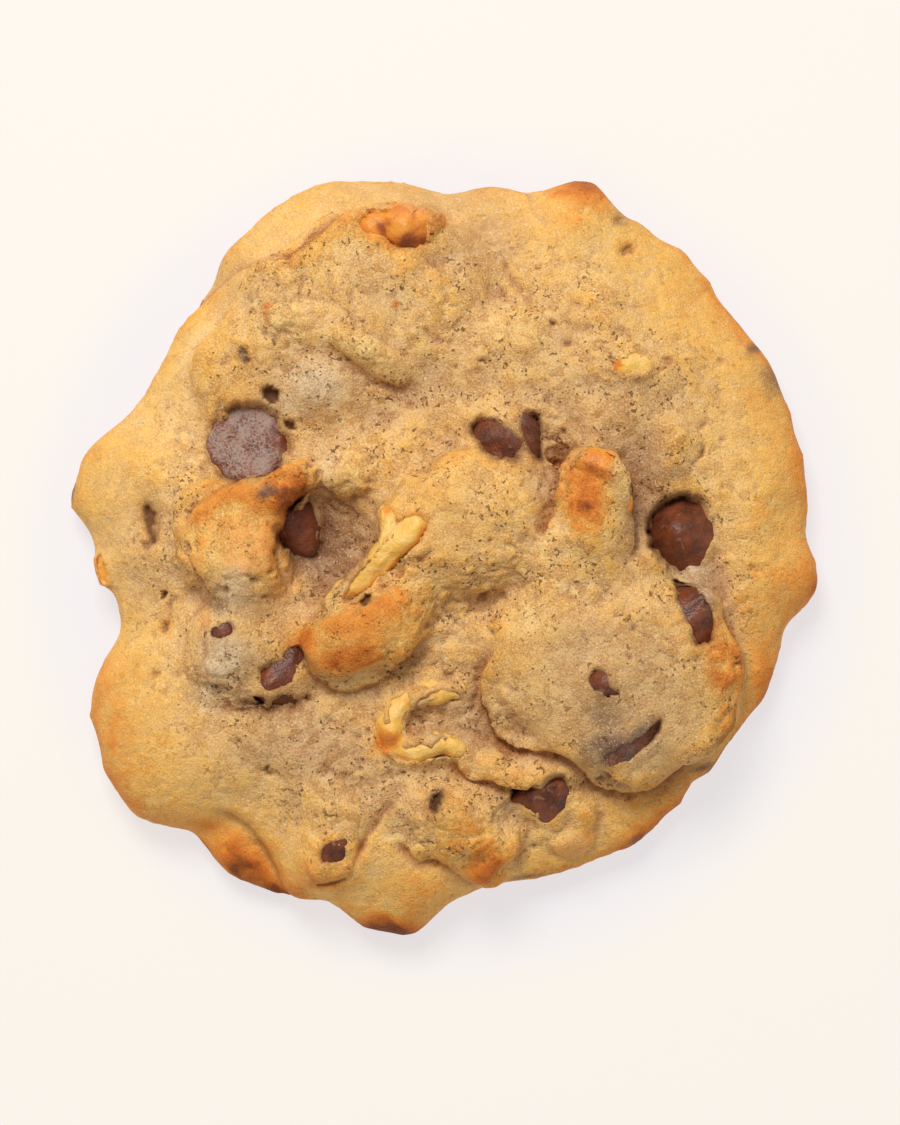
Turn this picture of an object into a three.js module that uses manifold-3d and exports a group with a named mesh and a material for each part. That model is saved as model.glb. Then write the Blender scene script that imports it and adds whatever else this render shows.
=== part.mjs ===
// A thick chocolate chip cookie with walnut pieces, in millimetres, at its real size.
// It lies flat on the plane z = 0 with the baked top up. Seen from above, +X is right and +Y is the far side.
import * as THREE from "three";
import { ImprovedNoise } from "three/addons/math/ImprovedNoise.js";
import { mergeVertices } from "three/addons/utils/BufferGeometryUtils.js";
import Module from "manifold-3d";

// Driving dimensions
const BODY_RADIUS = 42.8; // the rim's smallest reach, between its bulges
const BODY_TOP = 13.2; // the spread dough, before its swells
const BODY_WAIST = 4.0; // where the rim reaches furthest out
const CHIP_RADIUS = 5.3;
const CHIP_HEIGHT = 6.6;
const GAP = 0.3; // between the dough and a chip or a nut that it holds
const UNDERSIDE_PUSH = 1.3; // how far past the tray a lump would hang, before the flat base is cut
const FOLD_RELIEF = 1.5; // how far folds of dough stand in or out
const CRUMB_RELIEF = 0.6;

// Fineness of the faceted surface
const BODY_DETAIL = 15;
const LUMP_DETAIL_PER_MM = 0.2;
const CHIP_SEGMENTS = 10;
const NUT_SEGMENTS = 8;
const NUT_STEPS_PER_KNOB = 2;

// The rim's bulges: direction in degrees, extra reach, and spread in degrees
const RIM_BULGES = [
  { at: 16, rise: 4.6, spread: 16 },
  { at: 38, rise: 4.0, spread: 14 },
  { at: 54, rise: 5.4, spread: 13 },
  { at: 70, rise: 6.8, spread: 8 },
  { at: 84, rise: 4.0, spread: 8 },
  { at: 98, rise: 4.4, spread: 9 },
  { at: 113, rise: 6.6, spread: 12 },
  { at: 127, rise: 3.0, spread: 8 },
  { at: 146, rise: 1.4, spread: 10 },
  { at: 169, rise: 5.7, spread: 11 },
  { at: 202, rise: 5.6, spread: 7 },
  { at: 218, rise: 9.8, spread: 11 },
  { at: 242, rise: 2.8, spread: 11 },
  { at: 260, rise: 6.3, spread: 9 },
  { at: 306, rise: 0.9, spread: 9 },
  { at: 334, rise: 1.6, spread: 16 },
  { at: 357, rise: 3.6, spread: 8 },
];

// Broad swells and hollows of the spread dough: centre, half widths, turn in degrees, and rise
const SWELLS = [
  { at: [-3, 33], spread: [9, 8], turn: 10, rise: 2.4 },
  { at: [-6, 41.5], spread: [6, 4], turn: 0, rise: 2.4 },
  { at: [-30, 22], spread: [13, 7], turn: 50, rise: 1.2 },
  { at: [21, 27], spread: [13, 13], turn: 0, rise: 3.6 },
  { at: [28, 14], spread: [7, 8], turn: 0, rise: 1.6 },
  { at: [15, 42], spread: [7, 5], turn: -15, rise: 2.6 },
  { at: [-38, -23], spread: [8, 8], turn: 0, rise: 1.6 },
  { at: [-20, -27], spread: [11, 6], turn: -30, rise: 1.8 },
  { at: [-9, -40], spread: [10, 6], turn: -10, rise: 2.2 },
  { at: [-33, 8], spread: [9, 8], turn: 30, rise: 0.8 },
  { at: [41, 6], spread: [5, 16], turn: 8, rise: 0.8 },
  { at: [-9.5, 25.5], spread: [6, 2.6], turn: -30, rise: 1.5 },
  { at: [-13, 10.5], spread: [4.5, 3.4], turn: 0, rise: 2.6 },
  { at: [3, 34], spread: [5, 7], turn: 10, rise: -2.0 },
  { at: [-4, 19], spread: [12, 5], turn: 25, rise: 0.9 },
  { at: [-15.5, 4], spread: [6, 7], turn: 35, rise: -2.2 },
  { at: [13, 10], spread: [2.6, 4], turn: 0, rise: -2.4 },
  { at: [28.5, -1], spread: [4, 9], turn: 0, rise: -1.6 },
  { at: [-28, -11], spread: [5, 5], turn: 0, rise: 1.2 },
  { at: [-2, -24], spread: [7, 6], turn: 0, rise: -0.8 },
  { at: [38, -27], spread: [22, 8], turn: 45, rise: -4.6 },
  { at: [22, -41], spread: [18, 7], turn: 22, rise: -3.6 },
];

// Lumps that lie over the spread dough, each with a crisp crease round it
const LUMPS = [
  { at: [21, -14.2], size: [17.4, 13.6], turn: -24, foot: 3, waist: 11, top: 19, lean: [-0.06, 0.1] },
  { at: [-13.4, 28.6], size: [21.5, 12.5], turn: 33, foot: 5, waist: 11.4, top: 15.4, lean: [-0.03, 0.08] },
  { at: [3.4, 4.6], size: [13, 10], turn: 24, foot: 6, waist: 13.6, top: 20.6, lean: [0, 0.03] },
  { at: [17, 0.5], size: [11, 9], turn: 10, foot: 6, waist: 12.6, top: 18.6, lean: [0, 0] },
  { at: [18.4, 5.6], size: [5.2, 8.4], turn: 6, foot: 10, waist: 15.6, top: 21, lean: [0, 0.08] },
  { at: [-9.6, -8.4], size: [10.4, 5.2], turn: 30, foot: 7, waist: 14.6, top: 19.6, lean: [0.02, 0] },
  { at: [-27, 1.5], size: [8, 9.6], turn: 24, foot: 6, waist: 11.6, top: 17.6, lean: [0.04, 0.1] },
  { at: [-22.6, 8.2], size: [6.8, 3.4], turn: 30, foot: 9, waist: 15, top: 18.6, lean: [0.06, 0] },
  { at: [-27, -13], size: [7.2, 5.4], turn: 10, foot: 5, waist: 11, top: 15.4, lean: [0, 0.1] },
  { at: [1.6, -34], size: [9.4, 5.6], turn: -22, foot: 4, waist: 9.8, top: 14.4, lean: [0, 0.1] },
  { at: [5, -38.2], size: [2.9, 4.4], turn: 8, foot: 4, waist: 9, top: 12.6, lean: [0, 0] },
  { at: [9.8, -26], size: [8, 3.2], turn: 2, foot: 6, waist: 11.6, top: 14.2, lean: [0, 0] },
  { at: [-13.5, -38], size: [5.2, 4], turn: -30, foot: 5, waist: 9.6, top: 13, lean: [0, 0] },
  { at: [-25.4, -36.8], size: [8, 5], turn: -28, foot: 0, waist: 2.6, top: 6, lean: [0, 0] },
];

// Chocolate chips: centre seen from above, the way the tip points, size against a whole chip,
// and how far the highest point stands above the dough
const CHIPS = [
  { name: "chip_bloomed", at: [-25.3, 14.4], tip: [0.16, -0.1, -1], size: 1.06, proud: 0.9 },
  { name: "chip_by_nose", at: [-19.2, 3.4], tip: [0.5, -0.8, 0.35], size: 0.9, proud: 1.2 },
  { name: "chip_north", at: [8.2, 15.6], tip: [0.35, 0.5, 0.8], size: 0.98, proud: 1.8 },
  { name: "chip_east", at: [29.7, 3.1], tip: [-0.25, 0.15, 1], size: 0.98, proud: 2.6 },
  { name: "chip_east_low", at: [31.2, -6.8], tip: [0.5, 0.6, 0.6], size: 0.86, proud: 1.0 },
  { name: "chip_dome", at: [19.8, -15.8], tip: [0.1, 0.1, 1], size: 0.9, proud: 0.6 },
  { name: "chip_dome_low", at: [23.6, -23.4], tip: [-0.5, 0.4, -0.6], size: 1.0, proud: 0.9 },
  { name: "chip_ledge", at: [12.6, -31], tip: [0.35, -0.9, 0.12], size: 0.98, proud: 1.4 },
  { name: "chip_west_low", at: [-21.6, -15.4], tip: [-0.4, -0.4, 0.7], size: 0.98, proud: 1.2 },
  { name: "chip_west", at: [-28.2, -9.4], tip: [0, 0.1, 1], size: 0.86, proud: 0.7 },
  { name: "chip_south", at: [-14.4, -36.6], tip: [0.2, 0.3, 1], size: 0.8, proud: 0.7 },
];

// Walnut pieces: each is one or more bent bars through knobs, a knob being x, y, z and radius
const NUTS = {
  walnut_north: [
    [[-9.4, 41.4, 12.6, 2.1], [-7.4, 42.8, 12.4, 2.5], [-4.6, 41.4, 13.1, 2.9], [-2.4, 42.6, 12.8, 2.1]],
  ],
  walnut_fork: [
    [[-7.7, 5.4, 16, 1.3], [-7.2, 3.2, 17, 1.5], [-7.4, 0.8, 17.2, 1.8], [-11, -2.6, 16, 1.6], [-14.8, -5.8, 15.2, 1.2]],
    [[-3.9, 4.2, 18.2, 1.4], [-5.2, 2.9, 18.2, 1.8], [-7.6, 0.4, 17.2, 1.7]],
  ],
  walnut_hook: [
    [
      [1.2, -16.8, 12, 1.1], [-2.6, -17, 12.4, 1.4], [-5.6, -18.4, 12.6, 1.6], [-7.2, -21.8, 12.2, 1.6],
      [-5.4, -24.4, 12, 1.6], [-1.6, -23.6, 12.2, 1.7], [1.2, -24.2, 12, 1.3],
    ],
  ],
  walnut_peak: [[[17.6, 12, 19, 1.9], [19.6, 11.6, 19.8, 2], [21.5, 9, 19.2, 1.6], [21.7, 6.4, 18.4, 1.2]]],
  walnut_east: [[[22.2, 24.4, 14.6, 1.5], [24.6, 24, 14, 1.3]]],
  walnut_west: [[[-21.6, 30.2, 14.6, 1.4], [-19.6, 31, 14.8, 1.2]]],
  walnut_rim: [[[-44, -0.6, 6, 1.5], [-43.8, -2.8, 5.6, 1.3]]],
};

// Colours and finishes, as three.js materials
const DOUGH = new THREE.MeshStandardMaterial({ color: 0xd9ae6c, roughness: 0.85, metalness: 0 });
const CHOCOLATE = new THREE.MeshStandardMaterial({ color: 0x4a2a20, roughness: 0.4, metalness: 0 });
const WALNUT = new THREE.MeshStandardMaterial({ color: 0xdfae5c, roughness: 0.6, metalness: 0 });

const wasm = await Module();
wasm.setup();
const noise = new ImprovedNoise();

// The vertices of a ball of radius 1, shared between its faces.
function ball(detail) {
  const geometry = new THREE.IcosahedronGeometry(1, detail);
  geometry.deleteAttribute("normal");
  geometry.deleteAttribute("uv");
  return mergeVertices(geometry, 1e-5);
}

function solidOf(geometry) {
  const vertProperties = new Float32Array(geometry.attributes.position.array);
  const triVerts = new Uint32Array(geometry.index.array);
  return new wasm.Manifold(new wasm.Mesh({ numProp: 3, vertProperties, triVerts }));
}

function geometryOf(solid) {
  const mesh = solid.getMesh();
  const position = new THREE.BufferAttribute(new Float32Array(mesh.vertProperties), 3);
  const geometry = new THREE.BufferGeometry().setAttribute("position", position);
  geometry.setIndex(new THREE.BufferAttribute(new Uint32Array(mesh.triVerts), 1));
  return geometry;
}

// The largest body of a solid, so that a scrap cut loose by a pocket is dropped.
function largestBody(solid) {
  const bodies = solid.decompose();
  return bodies.reduce((a, b) => (b.volume() > a.volume() ? b : a));
}

// The point (x, y) in the frame of a feature at `at` that is turned by `turn` degrees.
function local(feature, x, y) {
  const turn = THREE.MathUtils.degToRad(feature.turn);
  const [dx, dy] = [x - feature.at[0], y - feature.at[1]];
  return [dx * Math.cos(turn) + dy * Math.sin(turn), dy * Math.cos(turn) - dx * Math.sin(turn)];
}

// Reach of the rim in the direction `angle`, in radians.
function rimReach(angle) {
  const degrees = THREE.MathUtils.radToDeg(angle);
  return RIM_BULGES.reduce((reach, bulge) => {
    const away = THREE.MathUtils.euclideanModulo(degrees - bulge.at + 180, 360) - 180;
    return reach + bulge.rise * Math.exp(-((away / bulge.spread) ** 2));
  }, BODY_RADIUS);
}

// Rise of the spread dough over its plain dome at a point seen from above.
function swellAt(x, y) {
  return SWELLS.reduce((rise, swell) => {
    const [u, v] = local(swell, x, y);
    return rise + swell.rise * Math.exp(-((u / swell.spread[0]) ** 2) - (v / swell.spread[1]) ** 2);
  }, 0);
}

// Uneven dough: folds of about 15 mm and crumbs of about 6 mm, as an offset outwards.
function unevenness(p) {
  const folds = noise.noise(p.x / 7.5, p.y / 7.5, p.z / 7.5) * FOLD_RELIEF;
  const crumbs = noise.noise(p.x / 3.2 + 9, p.y / 3.2, p.z / 3.2) * CRUMB_RELIEF;
  return folds + crumbs;
}

// The height of a rounded lump at the share `t` of the way from its middle to its edge.
function roundOver(t, squareness) {
  return Math.sqrt(Math.max(0, 1 - t ** squareness));
}

// A ball whose vertices are moved by `place`, which gets the direction from the middle, and the share of
// the way out at which that vertex lies when every face is to be about as large as the next.
function pushedBall(detail, place) {
  const geometry = ball(detail);
  const position = geometry.attributes.position;
  const direction = new THREE.Vector3();
  for (let i = 0; i < position.count; i += 1) {
    direction.fromBufferAttribute(position, i).normalize();
    const share = Math.sqrt(1 - Math.abs(direction.z));
    const point = place(direction, share);
    point.addScaledVector(direction, unevenness(point));
    position.setXYZ(i, point.x, point.y, point.z);
  }
  return solidOf(geometry);
}

// The dough that spread on the tray: a thick disc with an uneven rim, swells on top and a flat underside.
function spreadDough() {
  return pushedBall(BODY_DETAIL, (direction, share) => {
    const angle = Math.atan2(direction.y, direction.x);
    const reach = share * rimReach(angle);
    const [x, y] = [reach * Math.cos(angle), reach * Math.sin(angle)];
    const below = roundOver(share, 5) * BODY_WAIST * UNDERSIDE_PUSH;
    const above = roundOver(share, 3) * (BODY_TOP - BODY_WAIST) + swellAt(x, y) * (1 - share ** 6);
    return new THREE.Vector3(x, y, direction.z < 0 ? BODY_WAIST - below : BODY_WAIST + above);
  });
}

// One lump over the spread dough, with its foot inside it.
function lump(spec) {
  const detail = Math.round(LUMP_DETAIL_PER_MM * Math.max(...spec.size)) + 2;
  const turn = THREE.MathUtils.degToRad(spec.turn);
  return pushedBall(detail, (direction, share) => {
    const angle = Math.atan2(direction.y, direction.x);
    const [u, v] = [share * spec.size[0] * Math.cos(angle), share * spec.size[1] * Math.sin(angle)];
    const [x, y] = [u * Math.cos(turn) - v * Math.sin(turn), u * Math.sin(turn) + v * Math.cos(turn)];
    const far = direction.z < 0 ? spec.foot - spec.waist : spec.top - spec.waist;
    const z = spec.waist + far * roundOver(share, 2.6) + spec.lean[0] * x + spec.lean[1] * y;
    return new THREE.Vector3(spec.at[0] + x, spec.at[1] + y, z);
  });
}

// What would hang below the tray.
function belowTray() {
  const depth = 40;
  const box = new THREE.BoxGeometry(4 * BODY_RADIUS, 4 * BODY_RADIUS, depth).translate(0, 0, -depth / 2);
  box.deleteAttribute("normal");
  box.deleteAttribute("uv");
  return solidOf(mergeVertices(box));
}

function wholeDough() {
  const joined = LUMPS.reduce((dough, spec) => dough.add(lump(spec)), spreadDough());
  return joined.subtract(belowTray());
}

// The height of the top surface at a point seen from above, or of the waist just outside the rim.
function surfaceFinder(solid) {
  const mesh = new THREE.Mesh(geometryOf(solid), DOUGH);
  const caster = new THREE.Raycaster();
  return (x, y) => {
    caster.set(new THREE.Vector3(x, y, 100), new THREE.Vector3(0, 0, -1));
    const hits = caster.intersectObject(mesh);
    return hits.length ? hits[0].point.z : BODY_WAIST;
  };
}

// A morsel of chocolate, grown by `extra` all over: a flat round base and a cone that curves in to a blunt tip.
function chipGeometry(extra) {
  const [r, h] = [CHIP_RADIUS, CHIP_HEIGHT];
  const outline = [
    [0, 0], [0.86 * r, 0], [r, 0.15 * h], [0.84 * r, 0.43 * h], [0.52 * r, 0.7 * h], [0.2 * r, 0.96 * h], [0, h],
  ];
  const middle = 0.35 * h;
  const points = outline.map(([x, z]) => {
    const away = new THREE.Vector2(x, z - middle);
    away.setLength(away.length() + extra);
    return new THREE.Vector2(Math.max(0, away.x), away.y + middle);
  });
  const geometry = new THREE.LatheGeometry(points, CHIP_SEGMENTS).rotateX(Math.PI / 2);
  geometry.deleteAttribute("normal");
  geometry.deleteAttribute("uv");
  return mergeVertices(geometry, 1e-4);
}

// A chip in its place, pressed in until its highest point stands `proud` above the dough.
function placedChip(spec, surface, extra) {
  const geometry = chipGeometry(extra / spec.size).scale(spec.size, spec.size, spec.size);
  const whole = chipGeometry(0).scale(spec.size, spec.size, spec.size);
  const tip = new THREE.Vector3(...spec.tip).normalize();
  const turn = new THREE.Quaternion().setFromUnitVectors(new THREE.Vector3(0, 0, 1), tip);
  const middle = tip.clone().multiplyScalar(0.35 * CHIP_HEIGHT * spec.size);
  whole.applyQuaternion(turn).computeBoundingBox();
  const z = surface(...spec.at) + spec.proud - whole.boundingBox.max.z;
  geometry.applyQuaternion(turn).translate(spec.at[0] - middle.x, spec.at[1] - middle.y, z);
  return solidOf(geometry);
}

// A rounded bar that is bent through its knobs, grown by `extra` all over.
function bentBar(knobs, extra) {
  const middles = knobs.map(([x, y, z]) => new THREE.Vector3(x, y, z));
  const ends = [[0, 1], [knobs.length - 1, knobs.length - 2]].map(([end, next]) => {
    const out = middles[end].clone().sub(middles[next]);
    return middles[end].clone().add(out.setLength(knobs[end][3] + extra));
  });
  const route = new THREE.CatmullRomCurve3([ends[0], ...middles, ends[1]]);
  const steps = NUT_STEPS_PER_KNOB * (knobs.length + 1);
  const frames = route.computeFrenetFrames(steps);
  const outline = Array.from({ length: steps + 1 }, (_, i) => {
    const at = (i / steps) * (knobs.length + 1) - 1;
    const low = THREE.MathUtils.clamp(Math.floor(at), 0, knobs.length - 1);
    const high = Math.min(low + 1, knobs.length - 1);
    const radius = THREE.MathUtils.lerp(knobs[low][3], knobs[high][3], THREE.MathUtils.clamp(at - low, 0, 1));
    return new THREE.Vector2((radius + extra) * roundOver(Math.abs((2 * i) / steps - 1), 4), i);
  });
  const bar = new THREE.LatheGeometry(outline, NUT_SEGMENTS);
  const position = bar.attributes.position;
  for (let i = 0; i < position.count; i += 1) {
    const step = Math.round(position.getY(i));
    const point = route.getPoint(step / steps);
    point.addScaledVector(frames.normals[step], position.getZ(i));
    point.addScaledVector(frames.binormals[step], position.getX(i));
    position.setXYZ(i, point.x, point.y, point.z);
  }
  bar.deleteAttribute("normal");
  bar.deleteAttribute("uv");
  return solidOf(mergeVertices(bar, 1e-4));
}

// A walnut piece: its bars melted into one another.
function nut(bars, extra) {
  return bars.map((knobs) => bentBar(knobs, extra)).reduce((piece, bar) => piece.add(bar));
}

function named(name, solid, material) {
  const mesh = new THREE.Mesh(geometryOf(solid), material);
  mesh.name = name;
  return mesh;
}

// The group, shifted so that the middle of its outline from above is at x = y = 0.
function centred(group) {
  const middle = new THREE.Box3().setFromObject(group, true).getCenter(new THREE.Vector3());
  group.position.set(-middle.x, -middle.y, 0);
  return group;
}

function cookie() {
  const group = new THREE.Group();
  let dough = wholeDough();
  const surface = surfaceFinder(dough);
  for (const spec of CHIPS) {
    dough = dough.subtract(placedChip(spec, surface, GAP));
    group.add(named(spec.name, placedChip(spec, surface, 0), CHOCOLATE));
  }
  for (const [name, bars] of Object.entries(NUTS)) {
    dough = dough.subtract(nut(bars, GAP));
    group.add(named(name, nut(bars, 0), WALNUT));
  }
  group.add(named("dough", largestBody(dough), DOUGH));
  return centred(group);
}

export default cookie();
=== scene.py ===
# %% [markdown]
# A thick bakery cookie with chocolate chips and walnuts, seen from straight above.
# The frame holds its real size: one body of dough, with every chip and nut in its own pocket.
# Blender adds what a baker would look at: folds, crumb, browning, bare chocolate and toasted nut.

# %% Load the frame
from math import atan2, degrees

import bmesh
import bpy
import numpy as np
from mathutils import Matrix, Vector, noise
from mathutils.bvhtree import BVHTree


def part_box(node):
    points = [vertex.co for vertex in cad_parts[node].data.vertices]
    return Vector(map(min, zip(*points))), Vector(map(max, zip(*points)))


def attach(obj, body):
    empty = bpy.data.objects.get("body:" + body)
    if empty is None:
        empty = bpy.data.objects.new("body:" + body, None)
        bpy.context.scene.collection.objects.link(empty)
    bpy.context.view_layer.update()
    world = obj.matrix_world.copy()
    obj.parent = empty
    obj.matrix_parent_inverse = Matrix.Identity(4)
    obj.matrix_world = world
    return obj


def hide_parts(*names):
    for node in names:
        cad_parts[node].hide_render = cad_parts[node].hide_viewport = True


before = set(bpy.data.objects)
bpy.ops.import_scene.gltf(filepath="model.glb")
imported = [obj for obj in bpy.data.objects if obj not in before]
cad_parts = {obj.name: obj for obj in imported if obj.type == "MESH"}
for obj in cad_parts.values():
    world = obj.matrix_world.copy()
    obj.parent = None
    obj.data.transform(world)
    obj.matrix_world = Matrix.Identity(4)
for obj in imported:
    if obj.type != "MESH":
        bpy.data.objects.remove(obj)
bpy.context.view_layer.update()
MM = 0.001

# %% [markdown]
# The photo looks straight down, so a pixel of it is a place on the cookie seen from above.
# One scale turns pixels into millimetres, and every mark below is named and placed with it.
# The other way would be a camera match for each mark, which one flat view doesn't need.

# %% Places in the photo
MM_PER_PIXEL = 0.128
MIDDLE_PIXEL = np.array([446.5, 557.5])  # the middle of the cookie's outline
PHOTO_PIXELS = np.array([900, 1125])


def seen(pixels):
    """Pixels of the photo as millimetres on the cookie, seen from above."""
    away = np.atleast_2d(np.asarray(pixels, float)) - MIDDLE_PIXEL
    return away * [MM_PER_PIXEL, -MM_PER_PIXEL]


print("the photo's corner lies at", seen([0, 0])[0], "mm")

# %% [markdown]
# The camera hangs over the cookie with a long lens, as the photo's flat outline asks.
# A short lens would make the tall middle look larger than the rim.
# The width of the photo at the height of the rim gives the focal length.

# %% Camera
CAMERA_HEIGHT = 700  # mm above the rim
RIM_HEIGHT = 5  # mm, where the outline is widest
SENSOR = 36


def look_down():
    camera = bpy.data.objects.new("camera", bpy.data.cameras.new("camera"))
    bpy.context.scene.collection.objects.link(camera)
    x, y = seen(PHOTO_PIXELS / 2)[0]
    camera.location = Vector((x, y, CAMERA_HEIGHT + RIM_HEIGHT)) * MM
    camera.data.sensor_fit = "HORIZONTAL"
    camera.data.sensor_width = SENSOR
    camera.data.lens = SENSOR * CAMERA_HEIGHT / (PHOTO_PIXELS[0] * MM_PER_PIXEL)
    camera.data.clip_end = 10
    bpy.context.scene.camera = camera
    return camera


print("focal length:", round(look_down().data.lens, 1))

# %% [markdown]
# Every new piece starts as a welded copy of its solid, because the frame's meshes are loose triangles.
# Welding makes one closed skin that can be smoothed, cut finer and pushed about.

# %% Welded copies
def welded(node, grow=0.0):
    """A bmesh of a node of the frame, with its doubles merged, grown by `grow` mm."""
    bm = bmesh.new()
    bm.from_mesh(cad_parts[node].data)
    bmesh.ops.remove_doubles(bm, verts=bm.verts, dist=0.002 * MM)
    bm.normal_update()
    for v in bm.verts:
        v.co += v.normal * grow * MM
    return bm


def new_piece(name, bm):
    mesh = bpy.data.meshes.new(name)
    bm.to_mesh(mesh)
    bm.free()
    piece = bpy.data.objects.new(name, mesh)
    bpy.context.scene.collection.objects.link(piece)
    return piece


def settled(piece):
    """The piece with its modifiers applied."""
    graph = bpy.context.evaluated_depsgraph_get()
    mesh = bpy.data.meshes.new_from_object(piece.evaluated_get(graph))
    piece.modifiers.clear()
    old, piece.data = piece.data, mesh
    bpy.data.meshes.remove(old)
    return piece


CHIPS = sorted(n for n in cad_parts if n.startswith("chip"))
NUTS = sorted(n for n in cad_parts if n.startswith("walnut"))
print(len(CHIPS), "chips and", len(NUTS), "nuts")

# %% [markdown]
# Baked dough is one skin that runs over its lumps and over the edges of what is baked into it.
# The dough and slightly grown copies of the chips and nuts are remeshed together as voxels,
# which melts them into one skin. Sculpting each fold by hand from a grid would lose the frame's form.
# The skin is smoothed while it is coarse, then subdivided, so that no facet of the solid shows.

# %% The skin of dough
COARSE_VOXEL = 0.78  # mm between vertices before the skin is subdivided
GROW = 0.42


def dough_skin():
    bm = welded("dough")
    for node in CHIPS + NUTS:
        part = welded(node, GROW)
        mesh = bpy.data.meshes.new("part")
        part.to_mesh(mesh)
        part.free()
        bm.from_mesh(mesh)
        bpy.data.meshes.remove(mesh)
    piece = new_piece("cookie_dough", bm)
    remesh = piece.modifiers.new("melt", "REMESH")
    remesh.mode = "VOXEL"
    remesh.voxel_size = COARSE_VOXEL * MM
    smooth = piece.modifiers.new("relax", "SMOOTH")
    smooth.factor = 0.5
    smooth.iterations = 7
    fine = piece.modifiers.new("finer", "SUBSURF")
    fine.levels = fine.render_levels = 1
    return settled(piece)


EVEN_RIM = [(30, 28), (204, 16)]  # direction in degrees and half width, where the rim runs evenly
UNEVEN = 0.5  # how far the rest of the rim is rounded off
RIM_START, RIM_FADE = 34, 6  # mm from the middle, and over how many mm the rounding sets in


def soften_rim(piece):
    """Round off the rim, which spread and set smooth, and leave the middle as it is."""
    rim = piece.vertex_groups.new(name="rim")
    for v in piece.data.vertices:
        reach = v.co.to_2d().length / MM
        angle = degrees(atan2(v.co.y, v.co.x))
        even = any(abs((angle - at + 180) % 360 - 180) < half for at, half in EVEN_RIM)
        share = min(max((reach - RIM_START) / RIM_FADE, 0), 1)
        rim.add([v.index], share * (1.0 if even else UNEVEN), "REPLACE")
    round_off = piece.modifiers.new("round off", "SMOOTH")
    round_off.vertex_group = "rim"
    round_off.factor = 0.5
    round_off.iterations = 90
    settled(piece)
    piece.vertex_groups.clear()
    return piece


dough = soften_rim(dough_skin())
print("dough skin:", len(dough.data.vertices), "vertices")

# %% [markdown]
# The underside is flat and browned where it lay on the tray, and the rim curls a little over it.
# Neither shows crumb, so both need few faces.
# Decimate thins only the vertices that face down, named in a vertex group, and keeps the rest whole.

# %% A flat underside with few faces
BASE_HEIGHT = 0.35  # mm; what lies lower is pressed flat
KEPT_BELOW = 0.1  # share of the downward vertices that stay
DOWNWARD, FLAT = -0.15, -0.6  # z of the normal below which a vertex faces down, or lies on the tray


def flatten_base(piece):
    mesh = piece.data
    below = {v.index for v in mesh.vertices if v.normal.z < DOWNWARD}
    flat = [v.index for v in mesh.vertices if v.co.z < BASE_HEIGHT * MM and v.normal.z < FLAT]
    for i in flat:
        mesh.vertices[i].co.z = 0.0
    for edge in mesh.edges:
        a, b = edge.vertices
        if (a in below) != (b in below):
            below.discard(a)
            below.discard(b)
    piece.vertex_groups.new(name="below").add(sorted(below), 1.0, "REPLACE")
    thin = piece.modifiers.new("thin what faces down", "DECIMATE")
    thin.vertex_group = "below"
    thin.ratio = 1 - (1 - KEPT_BELOW) * len(below) / len(mesh.vertices)
    settled(piece)
    piece.vertex_groups.clear()
    return len(below)


print("vertices facing down:", flatten_base(dough), "left in all:", len(dough.data.vertices))

# %% [markdown]
# From here the dough is clay: every brush moves its vertices and keeps its faces.
# The vertices live in one table in millimetres, with their normals and neighbours, so that a brush
# is a few lines of arithmetic for all of them at once. Sculpt Mode would do the same with a hand
# on a tablet, but a script gives the same cookie each time.

# %% The clay
class Clay:
    """The vertices of a piece in mm, which brushes push about."""

    def __init__(self, piece):
        self.piece = piece
        self.mesh = piece.data
        count = len(self.mesh.vertices)
        self.at = np.empty(count * 3, np.float32)
        self.mesh.vertices.foreach_get("co", self.at)
        self.at = self.at.reshape(-1, 3).astype(float) / MM
        pairs = np.empty(len(self.mesh.edges) * 2, np.int32)
        self.mesh.edges.foreach_get("vertices", pairs)
        self.pairs = pairs.reshape(-1, 2)
        self.ends = np.bincount(self.pairs.ravel(), minlength=count)
        self.refresh()

    def refresh(self):
        """Write the vertices back to the mesh and read the new normals."""
        self.mesh.vertices.foreach_set("co", (self.at * MM).astype(np.float32).ravel())
        self.mesh.update()
        normals = np.empty(len(self.at) * 3, np.float32)
        self.mesh.vertex_normals.foreach_get("vector", normals)
        self.normal = normals.reshape(-1, 3).astype(float)

    def mean(self, values, rounds=1):
        """The mean of the neighbours' values at each vertex, taken that many times."""
        if values.ndim > 1:
            return np.stack([self.mean(column, rounds) for column in values.T], axis=1)
        a, b = self.pairs.T
        for _ in range(rounds):
            total = np.bincount(a, values[b], len(values)) + np.bincount(b, values[a], len(values))
            values = total / self.ends
        return values

    def smooth(self, weight, rounds):
        for _ in range(rounds):
            self.at += (self.mean(self.at) - self.at) * weight[:, None]

    def push(self, amount):
        """Move each vertex along its normal by that many mm."""
        self.at += self.normal * amount[:, None]


def raise_to(table, found, values):
    """Lift the found entries of a table to at least these values."""
    table[found] = np.maximum(table[found], values)


def store(mesh, name, values):
    """Keep one value from 0 to 1 for each vertex, where a material can read it."""
    attribute = mesh.attributes.new(name, "FLOAT", "POINT")
    attribute.data.foreach_set("value", np.clip(values, 0, 1).astype(np.float32))


def step(low, high, values):
    """0 below `low`, 1 above `high`, and smooth between them."""
    t = np.clip((values - low) / (high - low), 0, 1)
    return t * t * (3 - 2 * t)


def noise_at(points, size, seed):
    """Smooth noise from -1 to 1 whose swells are about `size` mm wide."""
    shift = Vector((seed * 17.3, seed * 5.1, seed * 11.7))
    return np.array([noise.noise(Vector(p) + shift) for p in points / size])


clay = Clay(dough)
facing_up = step(0.0, 0.35, clay.normal[:, 2])
print("clay:", len(clay.at), "vertices,", int(facing_up.sum()), "of them face up")

# %% [markdown]
# Marks are drawn on the cookie as it is seen from above: curves for folds and cracks, ovals for the rest.
# Real dough tears and slumps unevenly, so the places that the marks are measured from wobble a little.

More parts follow.
